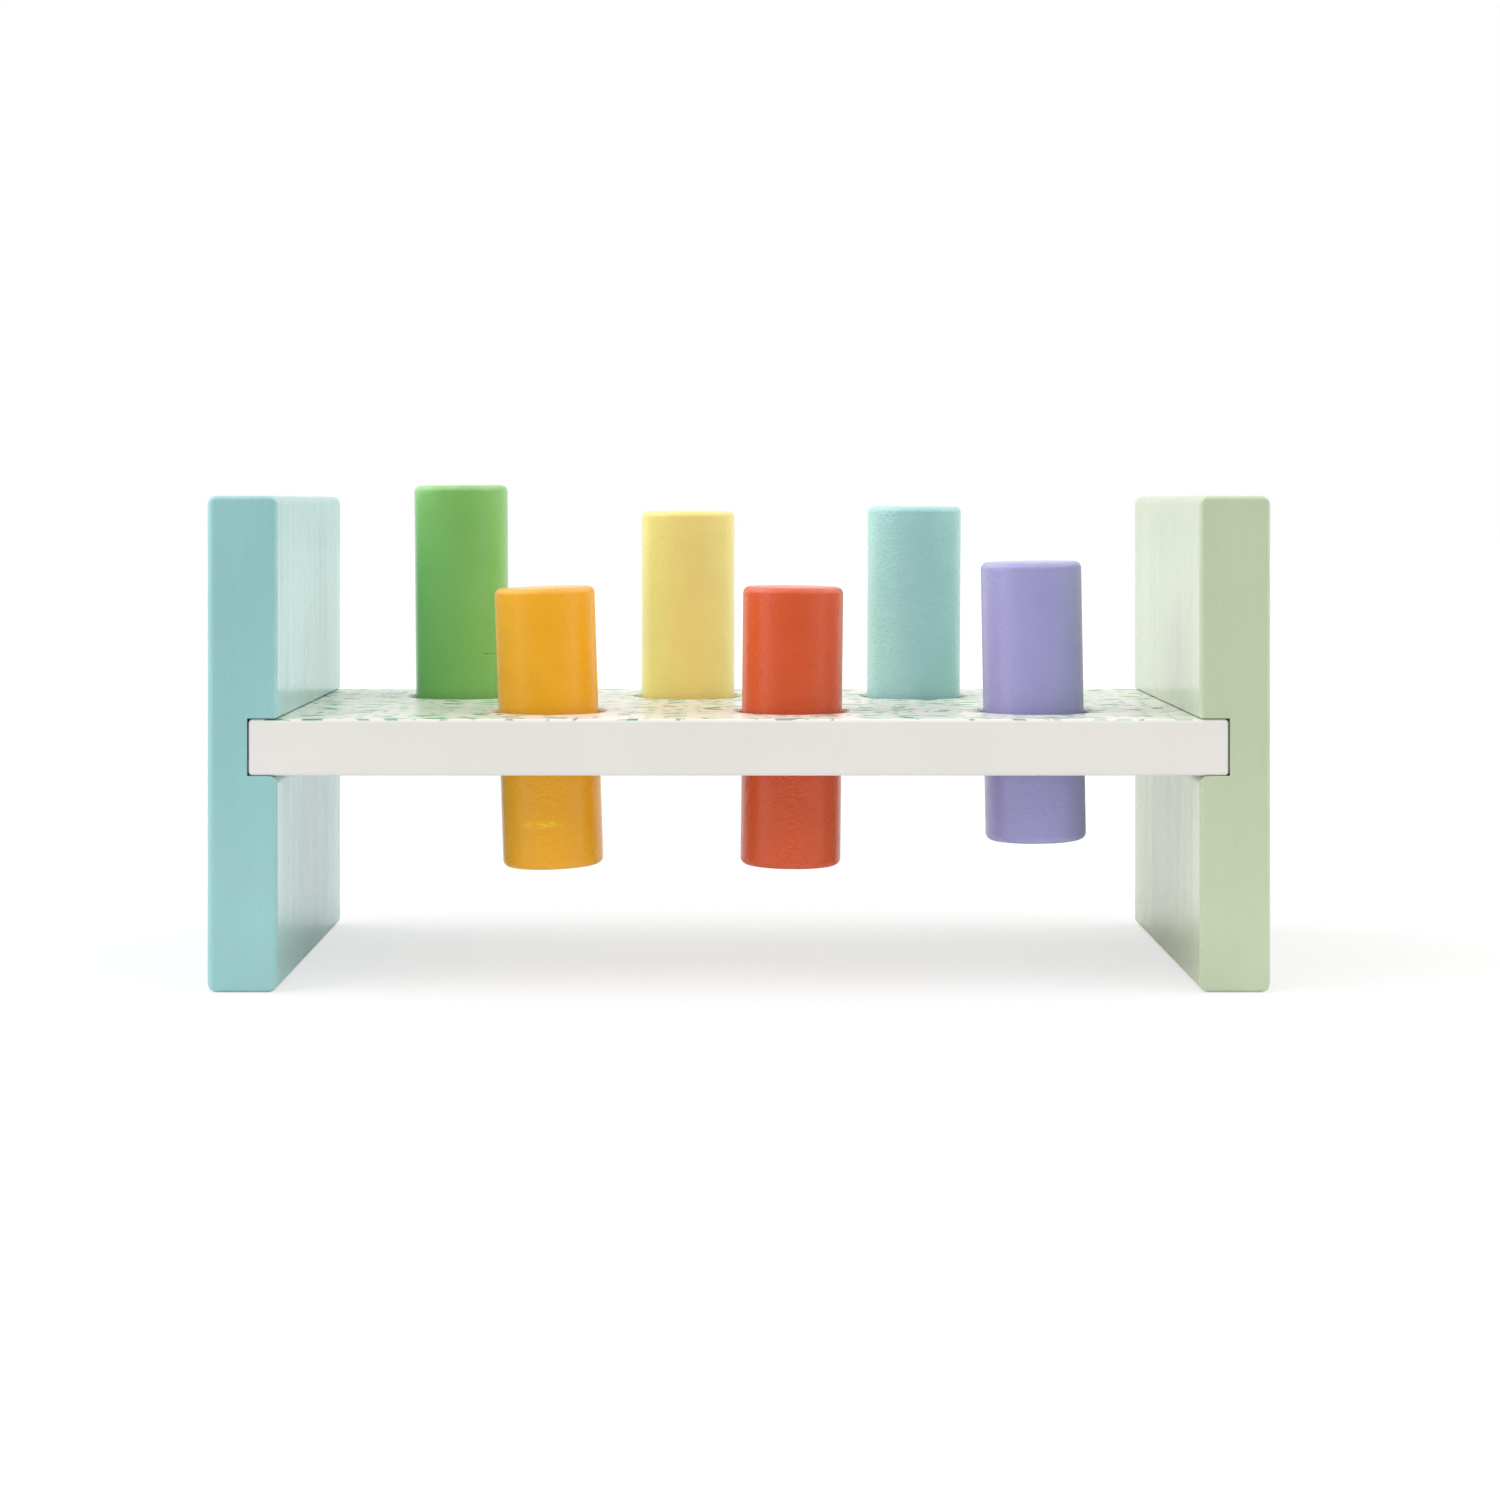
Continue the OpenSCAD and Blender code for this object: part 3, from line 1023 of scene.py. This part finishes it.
class BENCH_OT_end_boards(bpy.types.Operator):
    """Make the two painted end boards with their housings"""
    bl_idname = "pounding_bench.end_boards"
    bl_label = "End boards"

    def execute(self, context):
        sizes = settings().boards
        boards = (
            ("left_end_board", "blue_paint", sizes.left_colour, -1),
            ("right_end_board", "sage_paint", sizes.right_colour, 1),
        )
        for node, slot_name, base, side in boards:
            shape = end_board_shape(node, side)
            material = board_paint(slot_name, base, node)
            piece = finish_piece(f"painted_{node}", shape, material, BENCH_BODY, node)
            rounding = piece.modifiers.new("rounded edges", "BEVEL")
            rounding.limit_method = "WEIGHT"
            rounding.width = sizes.edge_rounding
            rounding.segments = sizes.segments
            rounding.use_clamp_overlap = False
            flat_shading(piece)
        return {"FINISHED"}


class BENCH_OT_deck(bpy.types.Operator):
    """Make the lacquered deck with its printed top and six holes"""
    bl_idname = "pounding_bench.deck"
    bl_label = "Deck"

    def execute(self, context):
        piece = finish_piece(
            "printed_deck", deck_shape(), deck_lacquer(), BENCH_BODY, "bench_board"
        )
        flat_shading(piece)
        return {"FINISHED"}


class BENCH_OT_pegs(bpy.types.Operator):
    """Make the six painted pegs, each leaning as its joint's axis does"""
    bl_idname = "pounding_bench.pegs"
    bl_label = "Pegs"

    def execute(self, context):
        sizes = settings().pegs
        for name in PEG_NAMES:
            place, long, radius = peg_place(name)
            material = peg_paint(name, getattr(sizes, name), place, long, radius)
            piece = finish_piece(
                f"painted_{name}_peg", peg_shape(place, long, radius), material,
                f"{name}_peg", f"{name}_peg",
            )
            flat_shading(piece)
        return {"FINISHED"}


class BENCH_OT_hidden_parts(bpy.types.Operator):
    """Dress the rubber grip rings and the dowels"""
    bl_idname = "pounding_bench.hidden_parts"
    bl_label = "Grip rings and dowels"

    def execute(self, context):
        rubber = ring_rubber()
        wood = dowel_wood()
        for name, node in frame["nodes"].items():
            if name.endswith("_ring"):
                dress(node, rubber)
            elif name.endswith("_dowel"):
                dress(node, wood)
        return {"FINISHED"}


# Stage

# The sky's regions blend into each other over these spans of a direction's X, then its Z, then
# its Y, where 1 and -1 are straight along the axis
LEFT_TO_RIGHT = (-0.2, 0.2)
SIDE_SPAN = (0.25, 1.0)
CEILING_SPAN = (0.42, 0.56)
FRONT_SPAN = (-0.9, -0.2)
BACK_SPAN = (0.0, 0.7)

# Width of the camera's sensor, in millimetres like its lens
SENSOR_WIDTH = 36.0


def make_floor(sizes):
    """A floor that lights the pieces as white does and shows the viewer soft shadows"""
    deep = sizes.floor_size + sizes.floor_front
    middle = Matrix.Translation((0, deep / 2 - sizes.floor_front, 0))
    reach = Matrix.Diagonal((sizes.floor_size, deep / 2, 1, 1))
    shape = bmesh.new()
    bmesh.ops.create_grid(shape, x_segments=1, y_segments=1, size=1.0, matrix=middle @ reach)
    floor = add_mesh_object("floor", shape)
    material = bpy.data.materials.new("white_floor")
    tree = blank_tree(material)
    path = tree.add("ShaderNodeLightPath").outputs
    mirrored = tree.math("MULTIPLY", path["Is Glossy Ray"], sizes.floor_mirrored)
    straight = tree.math("MAXIMUM", path["Is Camera Ray"], path["Is Transmission Ray"])
    shown = tree.math("MAXIMUM", straight, mirrored)
    white, seen = (sizes.floor_white,) * 3, (sizes.floor_seen,) * 3
    paint = tree.add("ShaderNodeBsdfDiffuse")
    tree.feed(paint.inputs["Color"], tree.mix(shown, white, seen))
    glow = tree.add("ShaderNodeEmission")
    glow_strength = tree.math("MULTIPLY", shown, sizes.floor_glow)
    tree.feed_all(glow, {"Color": WHITE, "Strength": glow_strength})
    blend = tree.add("ShaderNodeAddShader")
    tree.feed(blend.inputs[0], paint.outputs["BSDF"])
    tree.feed(blend.inputs[1], glow.outputs["Emission"])
    tree.feed(tree.add("ShaderNodeOutputMaterial").inputs["Surface"], blend.outputs["Shader"])
    dress(floor, material)


def make_sky(sizes):
    """A sky that is plain white to the camera, and unevenly bright in light and reflections"""
    world = bpy.data.worlds.new("white studio")
    tree = blank_tree(world)
    path = tree.add("ShaderNodeLightPath").outputs
    side, depth, up = tree.split(tree.add("ShaderNodeTexCoord").outputs["Generated"])
    sideways = tree.between(tree.math("ABSOLUTE", side), *SIDE_SPAN)
    overhead = tree.between(up, *CEILING_SPAN)
    level = tree.math("SUBTRACT", 1.0, overhead)
    front = tree.math("MULTIPLY", tree.between(depth, *FRONT_SPAN, 1.0, 0.0), level)
    # What glossy surfaces mirror
    gain = tree.between(side, *LEFT_TO_RIGHT, sizes.left_wall, sizes.right_wall)
    walls = tree.math("MULTIPLY_ADD", sideways, gain, 1.0)
    walls = tree.math("MULTIPLY", walls, tree.toward(front, sizes.front_wall))
    mirrored = tree.math("MULTIPLY_ADD", overhead, sizes.ceiling, walls)
    # The light that falls on the pieces
    side_gain = sizes.side_light * sizes.sky_light
    soft = tree.math("MULTIPLY_ADD", sideways, side_gain, sizes.sky_light)
    soft = tree.math("MULTIPLY", soft, tree.toward(front, sizes.front_light))
    soft = tree.math("MULTIPLY", soft, tree.between(depth, *BACK_SPAN, 1.0, sizes.back_light))
    shiny = tree.math("MAXIMUM", path["Is Glossy Ray"], path["Is Transmission Ray"])
    sent = tree.math("MULTIPLY_ADD", shiny, tree.math("SUBTRACT", mirrored, soft), soft)
    # The camera sees plain white, whatever the walls send to the pieces
    unseen = tree.math("SUBTRACT", 1.0, path["Is Camera Ray"])
    shown = tree.math("MULTIPLY_ADD", unseen, tree.math("SUBTRACT", sent, 1.0), 1.0)
    background = tree.add("ShaderNodeBackground")
    tree.feed_all(background, {"Color": WHITE, "Strength": shown})
    output = tree.add("ShaderNodeOutputWorld")
    tree.feed(output.inputs["Surface"], background.outputs["Background"])
    bpy.context.scene.world = world


def make_lights(sizes):
    """Two broad soft lights, at the upper left and the upper right"""
    lights = (("left light", sizes.left_light, -1), ("right light", sizes.right_light, 1))
    for name, energy, side in lights:
        light = bpy.data.lights.new(name, "SUN")
        light.energy = energy
        light.angle = sizes.light_softness
        lamp = add_object(name, light)
        lamp.rotation_euler = (sizes.light_tilt, 0, side * sizes.light_turn)


def make_camera(sizes):
    """A level camera in front of the bench, with its frame shifted on to it"""
    data = bpy.data.cameras.new("camera")
    data.lens = sizes.camera_lens
    data.sensor_width = SENSOR_WIDTH
    data.sensor_fit = "HORIZONTAL"
    data.shift_x = sizes.shift_side
    data.shift_y = sizes.shift_up
    camera = add_object("camera", data)
    camera.location = (sizes.camera_side, -sizes.camera_distance, sizes.camera_height)
    camera.rotation_euler = (math.radians(90), 0, 0)
    bpy.context.scene.camera = camera


class BENCH_OT_stage(bpy.types.Operator):
    """Set the floor, the soft light and the camera"""
    bl_idname = "pounding_bench.stage"
    bl_label = "Stage"

    def execute(self, context):
        sizes = settings().stage
        context.scene.view_settings.view_transform = "Standard"
        make_floor(sizes)
        make_sky(sizes)
        make_lights(sizes)
        make_camera(sizes)
        return {"FINISHED"}


OPERATORS = (
    BENCH_OT_stage, BENCH_OT_end_boards, BENCH_OT_deck, BENCH_OT_pegs, BENCH_OT_hidden_parts,
)


class VIEW3D_PT_pounding_bench(bpy.types.Panel):
    """The bench's steps and settings in the sidebar"""
    bl_label = "Pounding Bench"
    bl_space_type = "VIEW_3D"
    bl_region_type = "UI"
    bl_category = "Pounding Bench"

    def draw(self, context):
        layout = self.layout
        for operator in OPERATORS:
            layout.operator(operator.bl_idname)
        bench = context.scene.pounding_bench
        for group in (bench.boards, bench.deck, bench.pegs, bench.finish, bench.stage):
            box = layout.box()
            for name in group.bl_rna.properties.keys():
                if name not in ("rna_type", "name"):
                    box.prop(group, name)


CLASSES = (
    BoardSettings, DeckSettings, PegSettings, FinishSettings, StageSettings, BenchSettings,
    *OPERATORS, VIEW3D_PT_pounding_bench,
)


def register():
    for made in CLASSES:
        bpy.utils.register_class(made)
    bpy.types.Scene.pounding_bench = PointerProperty(type=BenchSettings)


def unregister():
    del bpy.types.Scene.pounding_bench
    for made in reversed(CLASSES):
        bpy.utils.unregister_class(made)


def main():
    """Makes the whole bench on its stage"""
    register()
    for operator in OPERATORS:
        getattr(bpy.ops.pounding_bench, operator.bl_idname.split(".")[1])()


if __name__ == "__main__":
    main()
